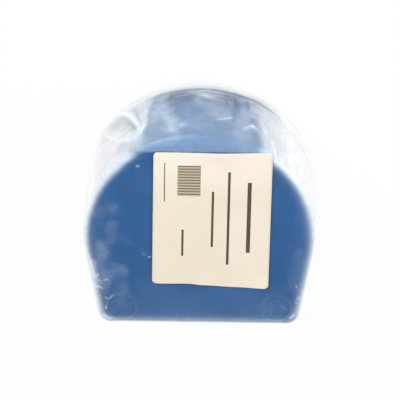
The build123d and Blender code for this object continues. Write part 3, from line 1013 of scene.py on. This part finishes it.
# ---- paper label --------------------------------------------------------------------------------
# from the front corner on the +X side, clockwise as seen from above
LABEL_CORNERS = ((16.2, -35.2), (-25.8, -35.4), (-25.1, 20.9), (16.9, 19.4))
LABEL_SIZE = (41.5, 55.3)
LABEL_ROUND = 1.5  # radius of its corners
LABEL_HEIGHT = CASE_HEIGHT + 0.52  # of its middle where it lies flat
LABEL_THICKNESS = 0.12
LABEL_COLUMNS = 34
LABEL_ROWS = 46
LABEL_END_ANGLES = range(0, 90, 15)  # of the rows through the rounded corners, in degrees
LABEL_BACK_WAVE = 0.55  # how far the middle of its back edge sits in towards the front
LABEL_WAVE = 0.10
LABEL_BACK_BUCKLE = 0.35
LABEL_CORNER_LIFT = 0.45
LABEL_FRONT_BUCKLE = 0.5

# plain printed rules: along u, and along v, from and to
RULES = (
    ((0.797, 0.831), (0.215, 0.735)),
    ((0.630, 0.652), (0.140, 0.830)),
    ((0.496, 0.516), (0.285, 0.700)),
    ((0.246, 0.264), (0.575, 0.775)),
    ((0.092, 0.100), (0.075, 0.365)),
)
BLOCK_U = (0.205, 0.400)
BLOCK_V = (0.095, 0.322)
STRIPE_COUNT = 11
PRINT_STEPS = 24


def bulge(value, middle, width):
    """A soft bump of height 1 at middle."""
    return math.exp(-(((value - middle) / width) ** 2))


def label_place(u, v):
    """A point on the label: u from its +X side to its -X side, v from the round front to the back."""
    a, b, c, d = (np.array(p) for p in LABEL_CORNERS)
    return (a * (1 - u) + b * u) * (1 - v) + (d * (1 - u) + c * u) * v


def label_lift(x, y, u, v):
    """How far the paper stands off where it would lie flat: a gentle wave, a narrow buckle in its back
    edge, a lifted corner beside it on the -X side, and a wide buckle in its front edge."""
    lift = LABEL_WAVE * math.sin(3.0 * u + 0.6) * math.sin(2.4 * v + 0.4)
    lift += LABEL_BACK_BUCKLE * max(0, v - 0.86) / 0.14 * bulge(u, 0.42, 0.06)
    lift += LABEL_CORNER_LIFT * smooth(v, 0.9, 1.0) * smooth(u, 0.75, 1.0)
    lift += LABEL_FRONT_BUCKLE * (1 - smooth(v, 0, 0.12)) * bulge(u, 0.57, 0.2)
    return float(lift + 0.05 * noise.noise(Vector((x * 0.12, y * 0.12, 4))))


def label_rows():
    """Where the label's rows lie along v, closer together at its rounded corners."""
    length = LABEL_SIZE[1]
    ends = [LABEL_ROUND / length * (1 - math.cos(math.radians(a))) for a in LABEL_END_ANGLES]
    middle = np.linspace(LABEL_ROUND / length, 1 - LABEL_ROUND / length, LABEL_ROWS)
    return ends + list(middle) + [1 - e for e in reversed(ends)]


def label_inset(v):
    """How far the rounded corners take in the row at v, at each side."""
    width, length = LABEL_SIZE
    r = LABEL_ROUND
    near = min(v, 1 - v) * length
    if near >= r:
        return 0.0
    return (r - math.sqrt(max(0, r**2 - (r - near) ** 2))) / width


def build_label():
    """The paper as a thickened sheet with rounded corners."""
    v_rows = label_rows()
    vertices, faces = [], []
    for v in v_rows:
        inset = label_inset(v)
        for i in range(LABEL_COLUMNS + 1):
            u = inset + (1 - 2 * inset) * i / LABEL_COLUMNS
            x, y = label_place(u, v)
            y -= LABEL_BACK_WAVE * bulge(u, 0.33, 0.2) * smooth(v, 0.85, 1)
            vertices.append((x * MM, y * MM, (LABEL_HEIGHT + label_lift(x, y, u, v)) * MM))
    across = LABEL_COLUMNS + 1
    for j in range(len(v_rows) - 1):
        for i in range(LABEL_COLUMNS):
            a = j * across + i
            faces.append((a, a + across, a + across + 1, a + 1))
    mesh = bpy.data.meshes.new("shop_label")
    mesh.from_pydata(vertices, [], faces)
    mesh.shade_smooth()
    made = new_object("shop_label", mesh, paper())
    thick = made.modifiers.new("thickness", "SOLIDIFY")
    thick.thickness = LABEL_THICKNESS * MM
    thick.offset = 0
    return made


def stripes():
    """Areas of the stripes on the printed block."""
    pitch = (BLOCK_V[1] - BLOCK_V[0]) / STRIPE_COUNT
    lows = [BLOCK_V[0] + pitch * i for i in range(STRIPE_COUNT)]
    return [(BLOCK_U, (low, low + 0.5 * pitch)) for low in lows]


def printed(name, areas, material, above):
    """Printed areas just above the paper, which follow it: each is its range of u and of v."""
    vertices, faces = [], []
    for u_range, v_range in areas:
        start = len(vertices)
        for i in range(PRINT_STEPS + 1):
            v = v_range[0] + (v_range[1] - v_range[0]) * i / PRINT_STEPS
            for u in u_range:
                x, y = label_place(u, v)
                z = LABEL_HEIGHT + label_lift(x, y, u, v) + LABEL_THICKNESS / 2 + above
                vertices.append((x * MM, y * MM, z * MM))
        faces += [(a, a + 2, a + 3, a + 1) for a in range(start, start + 2 * PRINT_STEPS, 2)]
    mesh = bpy.data.meshes.new(name)
    mesh.from_pydata(vertices, [], faces)
    return new_object(name, mesh, material)


# each print: name, areas, ink, its colour and its worn colour, and how far above the paper it lies
PRINTS = (
    ("label_rules", RULES, "label_ink", (0.075, 0.055, 0.038, 1), (0.17, 0.13, 0.095, 1), 0.015),
    ("label_block", [(BLOCK_U, BLOCK_V)], "label_tan", (0.60, 0.50, 0.35, 1), (0.68, 0.58, 0.43, 1), 0.010),
    ("label_stripes", stripes(), "label_brown", (0.20, 0.16, 0.10, 1), (0.30, 0.25, 0.17, 1), 0.020),
)

label = build_label()
prints = [printed(name, areas, ink(*inked), above) for name, areas, *inked, above in PRINTS]
for piece in [label] + prints:
    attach(piece, "lid")
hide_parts("paper_label")
